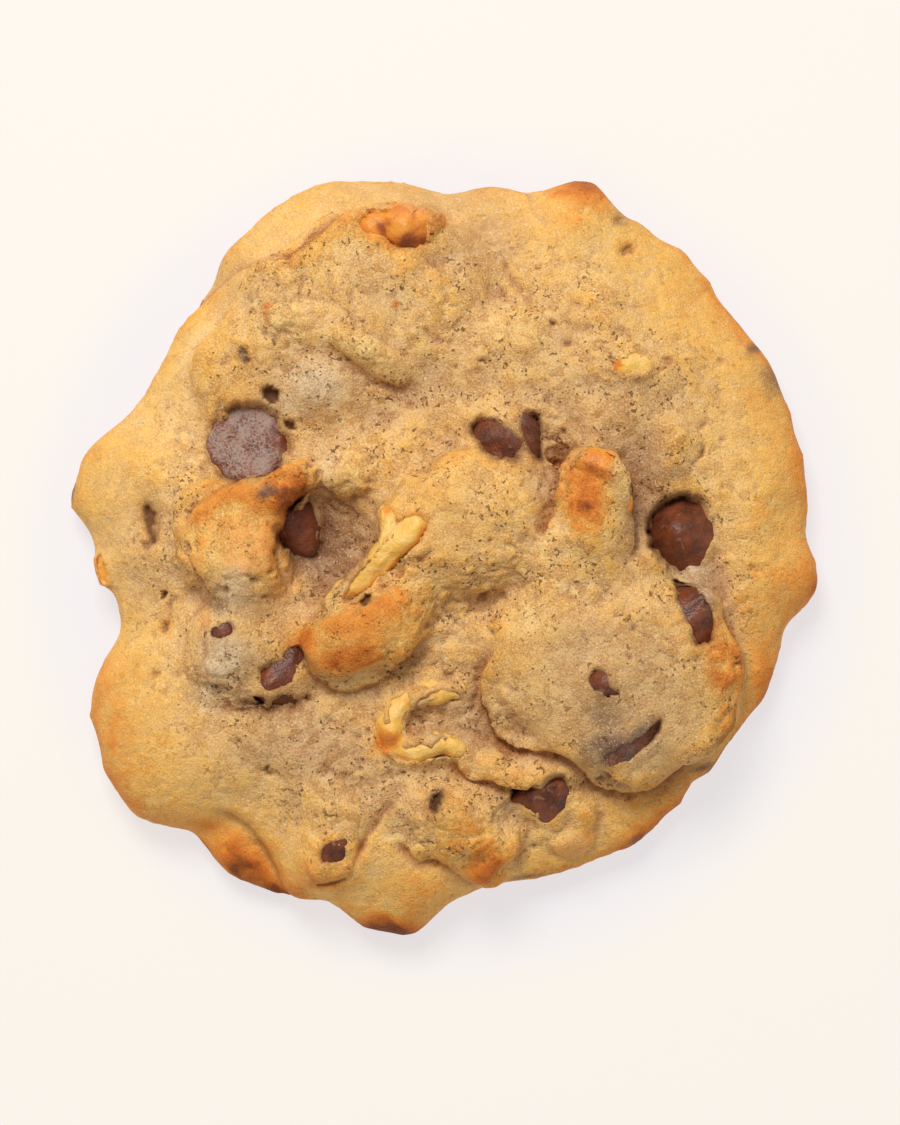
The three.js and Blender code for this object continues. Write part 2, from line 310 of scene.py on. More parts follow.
# %% Curves and ovals seen from above
WOBBLES = [(2.6, 0.55, (3, 4)), (0.9, 0.22, (5, 6))]  # width and reach in mm, and the seeds for x and y


def wobble(points):
    """Places seen from above, moved by up to half a millimetre as torn dough is."""
    moved = points[:, :2].copy()
    for size, reach, seeds in WOBBLES:
        moved += reach * np.stack([noise_at(points, size, seed) for seed in seeds], 1)
    return moved


def smooth_curve(pixels, cuts=6):
    """A curve through those pixels, as points in mm."""
    points = seen(pixels)
    padded = np.vstack([2 * points[0] - points[1], points, 2 * points[-1] - points[-2]])
    curve = []
    for p0, p1, p2, p3 in zip(padded, padded[1:], padded[2:], padded[3:]):
        for t in np.arange(cuts) / cuts:
            bend = (2 * p0 - 5 * p1 + 4 * p2 - p3) * t**2 + (3 * p1 - p0 - 3 * p2 + p3) * t**3
            curve.append(0.5 * (2 * p1 + (p2 - p0) * t + bend))
    return np.array(curve + [points[-1]])


def beside(pixels, places, reach=8.0):
    """How far each place lies from a curve (left is positive), how far along, and the way to its left."""
    curve = smooth_curve(pixels)
    close = np.all((places > curve.min(0) - reach) & (places < curve.max(0) + reach), axis=1)
    found = np.flatnonzero(close)
    best = np.full(len(found), 1e9)
    side = np.ones(len(found))
    share = np.zeros(len(found))
    left = np.zeros((len(found), 2))
    lengths = np.linalg.norm(np.diff(curve, axis=0), axis=1)
    travelled = np.concatenate([[0], np.cumsum(lengths)])
    for i, (a, b) in enumerate(zip(curve, curve[1:])):
        away = places[found] - a
        t = np.clip(away @ (b - a) / lengths[i] ** 2, 0, 1)
        gap = away - t[:, None] * (b - a)
        distance = np.linalg.norm(gap, axis=1)
        nearer = distance < best
        best[nearer] = distance[nearer]
        turn = (b - a)[0] * away[:, 1] - (b - a)[1] * away[:, 0]
        side[nearer] = np.sign(turn[nearer]) + (turn[nearer] == 0)
        share[nearer] = ((travelled[i] + t * lengths[i]) / travelled[-1])[nearer]
        left[nearer] = np.array([a[1] - b[1], b[0] - a[0]]) / lengths[i]
    return found, best * side, share, left


def oval(mark, spots):
    """How many half widths each spot lies from the middle of an oval.

    A mark is that oval in pixels of the photo: x and y, two half widths, and a turn in degrees.
    """
    x, y, wide, high, turn = mark
    away = spots - seen([x, y])
    angle = np.radians(turn)
    u = away[:, 0] * np.cos(angle) + away[:, 1] * np.sin(angle)
    v = away[:, 1] * np.cos(angle) - away[:, 0] * np.sin(angle)
    return np.hypot(u / (wide * MM_PER_PIXEL), v / (high * MM_PER_PIXEL))


places = wobble(clay.at)
print("wobble moved the marks by up to", round(float(np.abs(places - clay.at[:, :2]).max()), 2), "mm")

# %% [markdown]
# Smoothing drew the thin rim in a little, and the rim has small corners of its own.
# Each trim moves a stretch of the rim out or in along the radius, and fades out towards the middle.
# Scaling the whole piece would move the chips' windows too.

# %% The outline of the rim
RIM_TRIMS = [  # direction in degrees from the right, mm outwards, half width in degrees
    (4, -0.6, 6), (18, 0.5, 6), (30, 1.0, 7), (47, -0.3, 7), (60, 0.9, 3), (69, 1.2, 4), (76, -0.6, 3),
    (83, 0.7, 4), (91, -0.6, 4), (109, 1.9, 7), (124, 1.2, 6), (141, 1.5, 6), (163, 2.1, 6),
    (171, 0.8, 3), (185, -0.4, 4), (194, -0.5, 3), (200, 0.5, 3), (206, 0.8, 8), (216, 1.3, 8),
    (230, -0.9, 3), (246, 1.9, 4), (265, 1.3, 3), (277, -0.8, 5), (318, -1.1, 4), (340, 0.5, 4),
    (356, 0.5, 3),
]
ALL_ROUND = 0.05  # mm outwards all round
TRIMMED = (30, 42)  # mm from the middle, where trimming begins and where it is whole


def trim_rim():
    angle = np.degrees(np.arctan2(clay.at[:, 1], clay.at[:, 0]))
    reach = np.hypot(clay.at[:, 0], clay.at[:, 1])
    outwards = np.full(len(clay.at), ALL_ROUND)
    for at, amount, spread in RIM_TRIMS:
        away = (angle - at + 180) % 360 - 180
        outwards += amount * np.exp(-((away / spread) ** 2))
    outwards *= step(*TRIMMED, reach)
    clay.at[:, :2] *= (1 + outwards / np.maximum(reach, 1))[:, None]
    clay.refresh()
    return outwards


print("rim moved outwards by up to", round(float(trim_rim().max()), 2), "mm")

# %% [markdown]
# A cookie that is scooped, not rolled, keeps the torn lumps of the scoop, and they slump over one another.
# First some of the frame's creases are relaxed where the baked lumps ran together,
# then broad mounds and hollows give the height that the light shows.

# %% Relaxed joints and broad mounds
RELAXED = [  # marks: x, y, two half widths, turn
    (455, 262, 60, 50, 0), (330, 400, 90, 45, 20), (560, 585, 60, 40, 0), (520, 470, 70, 60, 0),
    (240, 620, 60, 40, 0), (430, 600, 46, 44, 30), (470, 820, 60, 30, 0),
]
MOUNDS = [  # mark, rise in mm
    (330, 335, 70, 46, 20, 0.5), (505, 330, 34, 28, 0, 0.9), (500, 200, 34, 16, 0, 1.0),
    (575, 210, 40, 28, -30, 1.0), (470, 250, 44, 26, 10, -1.5), (430, 395, 60, 24, 15, -1.1),
    (345, 480, 26, 18, 20, 1.3), (370, 354, 42, 10, -28, 1.3), (287, 322, 18, 12, 0, 0.3),
    (420, 345, 34, 9, -25, 0.5), (318, 388, 26, 18, 0, 0.9), (630, 368, 22, 16, 0, 0.8),
    (720, 590, 14, 50, 10, -0.8), (325, 545, 28, 42, 25, -2.4), (640, 500, 20, 60, -8, -1.6),
    (425, 712, 34, 26, 0, -1.4), (150, 560, 30, 26, 0, 0.8), (155, 515, 20, 12, 40, -0.9),
    (130, 740, 40, 70, 0, 1.0), (252, 598, 28, 44, 8, 1.9), (408, 590, 42, 24, 38, 0.9),
    (356, 588, 40, 17, 42, 0.8), (402, 545, 26, 24, 30, 0.7), (402, 724, 18, 36, 0, 0.7),
    (428, 752, 42, 16, 0, 0.7), (212, 604, 12, 26, 0, -0.7), (570, 843, 20, 11, 10, 1.0),
    (583, 812, 16, 18, 0, 0.9), (497, 803, 16, 11, 0, 0.9), (452, 800, 30, 12, 20, 0.7),
    (545, 820, 40, 10, 0, -0.6), (340, 800, 60, 30, -20, 0.8), (420, 915, 30, 20, 0, -0.8),
    (760, 480, 26, 120, 5, 0.6), (700, 410, 20, 50, 10, -0.7),
]


def relax_joints():
    weight = np.zeros(len(clay.at))
    for mark in RELAXED:
        weight = np.maximum(weight, 1 - step(0.5, 1.1, oval(mark, places)))
    clay.smooth(weight * 0.8 * facing_up, 40)
    return int((weight > 0.5).sum())


def raise_mounds():
    rise = np.zeros(len(clay.at))
    for *mark, height in MOUNDS:
        rise += height * np.exp(-(oval(mark, places) ** 2))
    clay.at[:, 2] += rise * facing_up


print("vertices relaxed:", relax_joints())
raise_mounds()
clay.refresh()

# %% [markdown]
# A fold is where one lump of dough lies over another: the upper side ends in a rounded lip that
# hangs over a little, and the lower side drops away under it and comes back up over a few millimetres.
# Each fold is a curve with the upper side on its left. Moving vertices sideways as well as down
# makes a true overhang, so the light draws a thin dark line there, as it does between real lumps.

# %% Folds
FOLDS = {  # curve, drop in mm, how far the drop reaches, lip in mm, overhang in mm
    "dome": ([(505, 634), (489, 660), (484, 690), (491, 716), (504, 739), (524, 746), (550, 749),
        (568, 754), (583, 767), (593, 781), (619, 788), (644, 787), (670, 774), (695, 754), (721, 726),
        (734, 692), (735, 660), (729, 634), (716, 614), (700, 600)], 2.6, 1.8, 0.4, 0.9),
    "outer rim": ([(358, 214), (341, 228), (320, 248), (305, 262), (284, 268), (264, 270), (244, 277),
        (223, 292), (203, 308), (180, 334), (170, 352)], 2.0, 1.1, 0.4, 0.8),
    "inner step": ([(352, 232), (345, 245), (330, 258), (312, 262), (300, 272),
        (296, 288)], 1.4, 0.9, 0.3, 0.5),
    "nut shelf": ([(446, 258), (438, 268), (420, 262)], 0.8, 0.9, 0.1, 0.2),
    "west mound": ([(290, 600), (276, 560), (276, 545), (284, 524), (300, 500), (306, 480), (292, 468),
        (264, 474), (239, 484), (213, 499), (195, 516), (189, 540)], 1.9, 1.4, 0.4, 0.7),
    "west mound foot": ([(189, 536), (200, 566), (212, 596), (210, 640), (216, 676),
        (232, 694)], 0.9, 1.2, 0.2, 0.3),
    "west shoulder": ([(194, 528), (178, 518), (163, 528), (160, 546)], 0.9, 0.8, 0.2, 0.4),
    "bar": ([(297, 630), (303, 650), (311, 666), (324, 682), (343, 688), (366, 683), (392, 668),
        (412, 652), (430, 634)], 1.3, 1.8, 0.3, 0.4),
    "bar top": ([(446, 550), (430, 560), (399, 575), (384, 588), (366, 604), (345, 614), (316, 618),
        (298, 630)], 1.2, 0.7, 0.1, 0.3),
    "ledge": ([(456, 752), (462, 768), (485, 777), (512, 784), (548, 783),
        (566, 772)], 1.7, 1.1, 0.3, 0.6),
    "ledge top": ([(470, 730), (490, 742), (500, 752)], 0.6, 0.7, 0.1, 0.2),
    "south lump": ([(392, 838), (420, 850), (443, 857), (455, 868), (468, 882), (484, 888), (499, 868),
        (518, 850), (520, 824)], 1.6, 1.1, 0.3, 0.5),
    "south beads": ([(548, 836), (556, 852), (574, 854), (590, 844), (594, 828),
        (602, 806)], 1.2, 0.8, 0.2, 0.3),
    "south west lip": ([(214, 806), (226, 814), (249, 826), (279, 861), (305, 889),
        (330, 901)], 1.8, 2.0, 0.3, 0.4),
    "south flap": ([(312, 846), (320, 862), (334, 874), (348, 876), (356, 858),
        (361, 838)], 1.2, 0.8, 0.3, 0.4),
    "west tear": ([(226, 696), (240, 706), (262, 705), (285, 706), (306, 700)], 1.2, 0.8, 0.2, 0.3),
    "north notch": ([(548, 232), (536, 218), (531, 205), (529, 190)], 1.0, 0.9, 0.2, 0.4),
    "north step": ([(536, 222), (505, 230), (478, 240), (462, 236)], 0.7, 1.0, 0.2, 0.3),
    "peak left": ([(572, 450), (560, 466), (556, 486), (550, 510), (540, 540)], 1.6, 1.1, 0.3, 0.5),
    "peak right": ([(628, 560), (630, 530), (626, 500), (622, 470), (610, 456)], 1.3, 1.3, 0.3, 0.5),
    "chip shelf": ([(546, 470), (530, 462), (505, 456), (480, 448), (466, 436)], 0.9, 0.8, 0.3, 0.3),
    "east valley": ([(712, 412), (704, 398), (694, 384), (690, 366)], 0.6, 0.9, 0.1, 0.2),
    "finger": ([(328, 340), (340, 352), (360, 366), (384, 382), (402, 388),
        (414, 376)], 1.2, 0.9, 0.4, 0.4),
    "finger top": ([(412, 366), (400, 356), (378, 344), (356, 332), (334, 326)], 0.6, 0.7, 0.2, 0.2),
    "button": ([(322, 470), (328, 492), (346, 500), (362, 494), (372, 480)], 0.8, 0.8, 0.2, 0.3),
    "south valley": ([(396, 796), (388, 812), (378, 826), (364, 846), (358, 866)], 1.0, 1.0, 0.2, 0.3),
    "hole skin": ([(446, 786), (438, 792), (430, 804), (420, 812)], 1.2, 0.8, 0.3, 0.3),
    "south fold": ([(262, 760), (286, 776), (300, 800), (300, 830)], 0.5, 1.4, 0.2, 0.1),
    "south ripple": ([(322, 760), (344, 772), (372, 776), (396, 768)], 0.5, 1.2, 0.2, 0.1),
    "north east ripple": ([(560, 300), (590, 312), (622, 306), (650, 320)], 0.4, 1.0, 0.2, 0.1),
    "north terrace": ([(300, 290), (330, 300), (356, 322), (362, 330)], 0.5, 0.9, 0.2, 0.1),
    "hook hollow": ([(462, 700), (444, 698), (424, 696), (414, 708), (412, 726), (420, 738),
        (446, 738)], 1.0, 1.0, 0.2, 0.3),
}
SMOOTH_FOLDS = ["dome", "outer rim", "west mound", "bar", "peak left", "peak right", "finger", "finger top"]


def fold(spots, pixels, drop, reach, lip, overhang):
    """Drop the right side of a curve, and raise a lip on its left side that leans out over it."""
    found, distance, share, left = beside(pixels, spots)
    ends = step(0, 0.12, share) * (1 - step(0.88, 1, share)) * facing_up[found]
    under = 1 - step(-0.12, 0.22, distance)
    low = -drop * under * np.exp(np.minimum(distance, 0) / reach)
    high = lip * (1 - under) * np.exp(-(((distance - 1.1) / 1.0) ** 2))
    over = -overhang * (1 - under) * np.exp(-((distance / 1.3) ** 2)) * step(-0.1, 0.3, distance)
    clay.at[found, 2] += (low + high) * ends
    clay.at[found, :2] += left * (over * ends)[:, None]
    raise_to(crease, found, under * ends * np.exp(np.minimum(distance + 0.1, 0) / 0.45) * drop)


crease = np.zeros(len(clay.at))
calm_places = 0.7 * clay.at[:, :2] + 0.3 * places
for name, (curve, *shape) in FOLDS.items():
    fold(calm_places if name in SMOOTH_FOLDS else places, curve, *shape)
clay.smooth(0.5 * step(0.05, 0.5, crease), 4)
clay.refresh()
print(len(FOLDS), "folds pressed")

# %% [markdown]
# Crumb gives the surface its scale: broad unevenness, then lumps of a few millimetres, then grain.
# The outer rim spread and set smooth, so it gets less of it than the torn middle.

# %% Crumb
SWELL = [(6.5, 0.6), (3.0, 0.4)]  # width and height in mm of its broad unevenness
CLUMPS = [(2.9, 0.36), (1.6, 0.24), (0.9, 0.13)]  # width and height in mm of torn clumps
RIM_BAND = (33, 44)  # mm from the middle, where the rim begins and where it is whole
RIM_TOP = 14  # mm; what stands higher is no rim
SLEEK = [  # where the crust set smooth
    (250, 530, 62, 66, 0), (255, 630, 50, 60, 0), (355, 635, 74, 44, 35), (600, 690, 130, 100, -20),
    (595, 500, 40, 60, 0), (150, 740, 60, 90, 10), (440, 510, 60, 50, 0), (372, 358, 60, 20, -28),
]


def rim_share():
    """0 in the middle of the cookie and 1 on its outer rim."""
    reach = np.hypot(clay.at[:, 0], clay.at[:, 1])
    return step(*RIM_BAND, reach) * step(0, 3, RIM_TOP - clay.at[:, 2])


def sleekness():
    """1 where the crust set smooth and 0 where the dough is torn."""
    sleek = 0.75 * rim_share()
    for mark in SLEEK:
        sleek = np.maximum(sleek, 0.85 * (1 - step(0.55, 1.05, oval(mark, places))))
    return sleek


def clumps_at(points, size, seed):
    """Rounded clumps that meet in narrow clefts: 1 on a clump, 0 in a cleft."""
    warp = np.stack([noise_at(points, size * 0.8, seed + i) for i in range(3)], axis=1)
    found = [noise.voronoi(Vector(p))[0] for p in points / size + 0.55 * warp]
    first, second = np.array(found)[:, :2].T
    return step(0.0, 0.42, second - first)


def add_crumb():
    height = sum(amount * noise_at(clay.at, size, 20 + size) for size, amount in SWELL)
    patches = 0.25 + 0.75 * step(-0.2, 0.35, noise_at(clay.at, 7, 31))
    for size, amount in CLUMPS:
        height += amount * (clumps_at(clay.at, size, 50 * size) - 0.8) * patches
    calm = (1 - 0.8 * sleek) * (1 - 0.6 * rim_share())
    clay.push(height * calm * step(0.3, 2.0, clay.at[:, 2]))
    clay.refresh()
    return height


sleek = sleekness()
clay.smooth(0.5 * sleek * facing_up, 12)
crumb = add_crumb()
print("crumb stands", round(float(crumb.max()), 2), "mm proud at most")

# %% [markdown]
# Chips and nuts show only where the dough tore or slid off them. The skin is drawn over each buried
# part at a set thickness, and in its windows it is pulled in below the part's surface,
# so that the part itself comes through with a ragged edge of dough round it.
# Cutting holes with booleans would leave clean edges, as no baked dough has.

# %% Windows in the skin
WINDOWS = {  # part, and the marks where it shows
    "chip_bloomed": [(250, 446, 42, 39, 20)],
    "chip_by_nose": [(299, 522, 18, 26, 0), (296, 541, 24, 11, -25), (307, 486, 7, 15, 10)],
    "chip_north": [(494, 441, 32, 15, -32), (533, 439, 10, 24, 14)],
    "chip_east": [(679, 532, 33, 39, 12)],
    "chip_east_low": [(690, 604, 13, 24, 22), (698, 630, 13, 14, 0)],
    "chip_dome": [(594, 679, 9, 11, 10), (606, 688, 9, 5, -40)],
    "chip_dome_low": [(624, 750, 26, 8, 26), (648, 733, 14, 5, 45)],
    "chip_ledge": [(551, 794, 15, 24, -14), (524, 794, 9, 8, 0)],
    "chip_west_low": [(280, 673, 20, 12, 25), (250, 698, 17, 5, 8), (284, 701, 13, 4, 0)],
    "chip_west": [(226, 630, 15, 9, 15)],
    "chip_south": [(338, 845, 12, 9, -40)],
    "walnut_north": [(376, 231, 16, 15, 0), (408, 231, 28, 24, 0)],
    "walnut_fork": [(388, 524, 8, 13, 0), (411, 534, 17, 17, -20), (396, 556, 22, 14, 40),
                    (366, 580, 30, 10, 42)],
    "walnut_hook": [(401, 708, 9, 18, -12), (392, 736, 12, 16, 0), (414, 752, 18, 9, 0),
                    (448, 749, 17, 11, 5)],
    "walnut_peak": [(597, 459, 16, 9, -20)],
    "walnut_east": [(620, 369, 9, 7, -30), (636, 365, 9, 11, 20)],
    "walnut_west": [],
    "walnut_rim": [(99, 568, 5, 14, 0)],
}
COVER = {"chip": 0.35, "walnut": 0.55}  # mm of dough over a buried part
SUNK = 0.7  # mm that the skin lies below a bare part
MOAT = {"chip": 0.2, "walnut": 0.15}  # mm that the dough drops beside a bare part
RAGGED = 0.2  # share of a window that its torn edge comes and goes
BESIDE = 1.5  # mm round a part that its windows may reach
OVERHEAD = 60  # mm, from where the part's own height is measured


def in_window(part, spots):
    near = np.full(len(spots), 9.0)
    for mark in WINDOWS[part]:
        near = np.minimum(near, oval(mark, spots))
    ragged = noise_at(np.column_stack([spots, np.zeros(len(spots))]), 1.1, 61)
    return 1 - step(0.86, 1.06, near + RAGGED * ragged)


def draw_skin_over(part):
    """Lower the skin in the part's windows, and keep it over the rest of the part."""
    kind = part.split("_")[0]
    bm = welded(part)
    tree = BVHTree.FromBMesh(bm)
    bm.free()
    low, high = [np.array(corner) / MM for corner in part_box(part)]
    spots = clay.at[:, :2]
    close = np.all((spots > low[:2] - BESIDE) & (spots < high[:2] + BESIDE), axis=1)
    found = np.flatnonzero(close & (clay.normal[:, 2] > -0.1))
    bare = in_window(part, places[found])
    for i, window in zip(found, bare):
        above = Vector((*clay.at[i, :2], OVERHEAD)) * MM
        spot = tree.ray_cast(above, Vector((0, 0, -1)))[0]
        z = clay.at[i, 2]
        if spot is None:
            clay.at[i, 2] = z - MOAT[kind] * window
            continue
        top = spot.z / MM
        clay.at[i, 2] = (1 - window) * max(z, top + COVER[kind]) + window * min(z, top - SUNK)
    raise_to(torn_edge, found, 4 * bare * (1 - bare))
    if part in CHIPS:
        raise_to(gap, found, bare)
    return int((bare > 0.5).sum())


gap = np.zeros(len(clay.at))
torn_edge = np.zeros(len(clay.at))
for part in CHIPS + NUTS:
    print(part, "shows through", draw_skin_over(part), "vertices")
clay.smooth(0.6 * step(0.0, 0.3, clay.mean(torn_edge)), 3)
clay.refresh()

# %% [markdown]
# Between dough and chocolate the bake leaves dark gaps, and steam leaves pits and short cracks.
# They are pressed in last, so that nothing smooths them away again.

# %% Pits and cracks
PITS = [  # mark, depth in mm
    (272, 398, 10, 6, -25, 2.2), (237, 410, 12, 4, 35, 1.0), (291, 426, 5, 6, 0, 1.4),
    (552, 474, 10, 15, -15, 0.7), (522, 794, 11, 9, 0, 3.0), (534, 803, 8, 6, 0, 1.6),
    (677, 587, 8, 5, -30, 2.0), (684, 612, 5, 20, 20, 1.4), (652, 728, 6, 14, -40, 1.2),
    (436, 799, 6, 11, -30, 1.8), (297, 655, 9, 8, 40, 2.2), (366, 598, 6, 9, -30, 1.6),
    (384, 572, 7, 4, 40, 1.0), (157, 518, 5, 9, 10, 1.2), (150, 542, 6, 6, 0, 0.9),
    (247, 354, 4, 3, 0, 0.9), (249, 361, 4, 3, 0, 0.9), (551, 326, 3, 4, 0, 1.0),
    (624, 260, 8, 5, 10, 0.9), (667, 363, 6, 4, -20, 0.8), (611, 360, 5, 3, 20, 0.7),
    (715, 366, 4, 3, 0, 0.6), (698, 452, 3, 8, 10, 0.9), (167, 595, 4, 6, -25, 1.1),
    (164, 628, 5, 4, 20, 0.9), (165, 672, 4, 3, 0, 0.7), (267, 767, 3, 4, 0, 0.8),
    (371, 732, 2, 4, 0, 0.7), (431, 627, 5, 3, 40, 0.9), (338, 846, 6, 6, 0, 0.8),
    (616, 226, 5, 4, 0, 0.6), (752, 571, 3, 4, 0, 0.6),
]
CRACKS = [  # curve, depth, half width in mm
    ([(502, 262), (507, 273), (515, 286), (522, 296), (529, 309)], 0.8, 0.35),
    ([(236, 702), (252, 700), (268, 704), (290, 702), (304, 699)], 0.9, 0.45),
    ([(417, 698), (430, 694), (445, 693), (458, 695)], 0.9, 0.4),
    ([(646, 742), (655, 732), (661, 720)], 1.2, 0.4),
    ([(348, 536), (360, 552), (372, 550)], 0.7, 0.35),
    ([(270, 268), (282, 266), (300, 268)], 0.5, 0.35),
    ([(312, 300), (300, 312), (306, 330)], 0.5, 0.35),
    ([(440, 290), (448, 300), (444, 312)], 0.6, 0.4),
    ([(424, 330), (432, 342), (446, 346)], 0.7, 0.45),
    ([(240, 345), (236, 362), (228, 372)], 0.5, 0.35),
    ([(560, 325), (575, 332), (590, 330)], 0.4, 0.3),
    ([(690, 470), (697, 458), (698, 444)], 0.8, 0.4),
    ([(444, 614), (438, 624), (430, 628)], 0.8, 0.4),
    ([(330, 838), (345, 834), (352, 842)], 0.6, 0.4),
    ([(470, 694), (476, 702), (470, 712)], 0.6, 0.35),
    ([(158, 504), (153, 522), (158, 546)], 1.3, 0.5),
    ([(180, 596), (172, 604), (168, 618)], 0.7, 0.4),
    ([(394, 798), (386, 812), (377, 826), (366, 842), (359, 858)], 0.8, 0.35),
    ([(318, 872), (334, 877), (350, 875)], 0.9, 0.4),
    ([(230, 404), (222, 416), (214, 430)], 0.9, 0.4),
    ([(352, 300), (360, 312), (356, 322)], 0.7, 0.35),
    ([(330, 284), (336, 296), (346, 300)], 0.7, 0.35),
    ([(556, 500), (548, 520), (538, 536)], 0.8, 0.4),
    ([(196, 300), (204, 292), (216, 288)], 0.5, 0.35),
]
PORE_COUNT = 260
PORE_SEED = 7
COOKIE_REACH = 46  # mm from the middle, where the last pores may be


def press_pits():
    press = np.zeros(len(clay.at))
    torn = 0.35 * noise_at(clay.at, 0.8, 71)
    for *mark, depth in PITS:
        press = np.maximum(press, depth * (1 - step(0.6, 1.15, oval(mark, places) + torn)))
    for curve, depth, width in CRACKS:
        found, distance, share, _ = beside(curve, places, 2.0)
        ends = step(0, 0.15, share) * (1 - step(0.85, 1, share))
        raise_to(press, found, depth * ends * np.exp(-((distance / width) ** 2)))
    return press * facing_up


def press_pores():
    """Small holes left by steam, scattered with a fixed seed and clear of the smooth rim."""
    draw = np.random.default_rng(PORE_SEED)
    press = np.zeros(len(clay.at))
    for _ in range(PORE_COUNT):
        spot = draw.uniform(-COOKIE_REACH, COOKIE_REACH, 2)
        width, length, angle, depth = draw.uniform([0.2, 0.25, 0, 0.2], [0.38, 0.8, np.pi, 0.7])
        away = places - spot
        near = np.flatnonzero(np.abs(away).max(1) < 2.5)
        u = away[near] @ [np.cos(angle), np.sin(angle)]
        v = away[near] @ [-np.sin(angle), np.cos(angle)]
        raise_to(press, near, depth * np.exp(-((u / length) ** 2) - (v / width) ** 2))
    return press * facing_up * (1 - 0.6 * rim_share())


pits = press_pits()
pores = press_pores()
clay.at[:, 2] -= pits
clay.push(-pores)
clay.at[:, 2] = np.maximum(clay.at[:, 2], 0.0)
clay.refresh()
print("deepest pit:", round(float(pits.max()), 1), "mm")

# %% [markdown]
# Colour follows the bake. What stands proud and thin browns first, the rim most of all, and the rim more
# towards the south east, which is also painted shade of the side turned from the light.
# Hollows stay pale and greyish and are greyed further with painted shade; creases, pits and the gaps round
# bare chips get painted shade too. Chocolate stains the dough that it melted into, and nut shows yellow
# through a thin skin. Each of these is a layer from 0 to 1, stored on the vertices for the material.

# %% Layers of colour
EVEN_BAKE = 0.26  # how brown the crust is where nothing else tells
UNDERSIDE_BAKE = 0.62
BROWNED = [  # mark, strength
    (288, 496, 26, 20, 30, 0.5), (262, 512, 34, 20, 30, 0.2), (584, 496, 26, 38, 0, 0.5),
    (350, 657, 38, 17, 14, 0.5), (305, 636, 16, 14, 0, 0.36), (356, 636, 62, 36, 28, 0.24),
    (402, 605, 46, 36, 35, 0.2), (716, 662, 18, 44, 8, 0.28), (720, 704, 14, 34, -14, 0.16),
    (484, 862, 18, 24, 10, 0.36), (462, 835, 36, 20, 20, 0.2), (580, 196, 40, 18, -25, 0.26),
    (392, 925, 34, 14, 0, 0.4), (240, 858, 60, 24, -30, 0.3), (258, 874, 60, 18, -30, 0.42),
    (440, 500, 60, 62, 0, 0.1), (243, 528, 54, 50, 0, 0.25), (520, 625, 30, 34, 0, 0.1),
    (288, 888, 24, 10, -25, 0.6), (118, 790, 30, 30, 0, 0.12), (120, 715, 46, 80, 0, 0.1),
    (812, 583, 8, 12, 0, 0.12), (400, 233, 44, 28, 0, 0.3), (385, 742, 14, 14, 0, 0.35),
    (660, 835, 60, 18, 35, 0.24), (770, 690, 16, 50, 20, 0.12), (748, 335, 60, 16, -52, 0.12),
    (795, 470, 14, 90, 5, 0.08),
]
# Greyer marks: in hollows partly dough that stayed pale, partly painted shade.
GREYED_AND_SHADED = [  # hollows that stayed pale, and dough that steamed under a lump
    (325, 545, 34, 50, 20, 1.0), (425, 385, 90, 36, 15, 0.5), (470, 250, 60, 34, 0, 0.6),
    (640, 500, 26, 70, -5, 0.8), (245, 600, 30, 26, 0, 0.6), (235, 660, 34, 30, 0, 0.6),
    (455, 718, 50, 36, 0, 1.0), (310, 690, 60, 26, 0, 0.4), (700, 590, 22, 20, 0, 0.7),
    (590, 420, 90, 60, 10, 0.5), (560, 340, 60, 40, 0, 0.3), (380, 300, 50, 30, 20, 0.35),
    (545, 480, 20, 26, 0, 0.7), (610, 680, 90, 80, 0, 0.6), (390, 800, 50, 22, 0, 0.5),
    (305, 390, 60, 40, 0, 0.5), (304, 744, 90, 36, -10, 0.8), (690, 770, 40, 20, 30, 0.4),
    (150, 560, 40, 60, 0, 0.3), (530, 760, 50, 16, 0, 0.3), (430, 202, 90, 26, 0, 0.45),
    (250, 290, 34, 90, 38, 0.25), (462, 505, 56, 46, 0, 0.18),
]
STAINED = [  # where chocolate melted into the dough, or lies just under it
    (607, 715, 26, 12, -20, 0.5), (608, 742, 28, 17, 25, 0.9), (640, 726, 18, 11, 40, 0.65),
    (598, 690, 12, 14, 0, 0.35), (222, 603, 12, 12, 0, 0.55), (270, 700, 40, 16, 0, 0.3),
    (318, 545, 34, 40, 20, 0.5), (350, 520, 26, 26, 0, 0.25), (768, 386, 20, 16, -50, 0.55),
    (676, 475, 18, 9, 10, 0.5), (634, 524, 10, 24, 0, 0.4), (271, 493, 11, 6, 10, 1.0),
    (620, 222, 12, 8, 0, 0.45), (585, 187, 20, 8, 0, 0.35), (78, 488, 6, 13, 0, 0.9),
    (754, 348, 7, 16, -60, 0.8), (636, 839, 12, 4, 30, 0.5), (708, 772, 10, 5, 30, 0.7),
    (525, 878, 16, 4, 10, 0.6), (520, 440, 30, 26, 0, 0.3), (690, 600, 20, 24, 0, 0.3),
    (247, 357, 6, 8, 0, 0.7), (512, 800, 16, 12, 0, 0.6), (298, 655, 12, 10, 0, 0.6),
    (436, 799, 8, 12, -30, 0.8),
]
BUTTERED = [  # where nut shows yellow through a thin skin
    (372, 358, 48, 15, -28, 0.8), (420, 345, 34, 10, -25, 0.4), (285, 322, 26, 18, 0, 0.75),
    (345, 480, 26, 18, 0, 0.6), (511, 333, 30, 26, 0, 0.55), (524, 622, 20, 26, 0, 0.7),
    (627, 366, 22, 12, 0, 0.6), (497, 803, 18, 12, 0, 0.6), (570, 842, 20, 12, 0, 0.4),
    (400, 560, 60, 14, 40, 0.5), (432, 722, 50, 40, 0, 0.25), (617, 480, 9, 26, 0, 0.7),
    (336, 600, 26, 10, 42, 0.6), (250, 560, 26, 40, 0, 0.3), (345, 684, 46, 10, 14, 0.5),
]
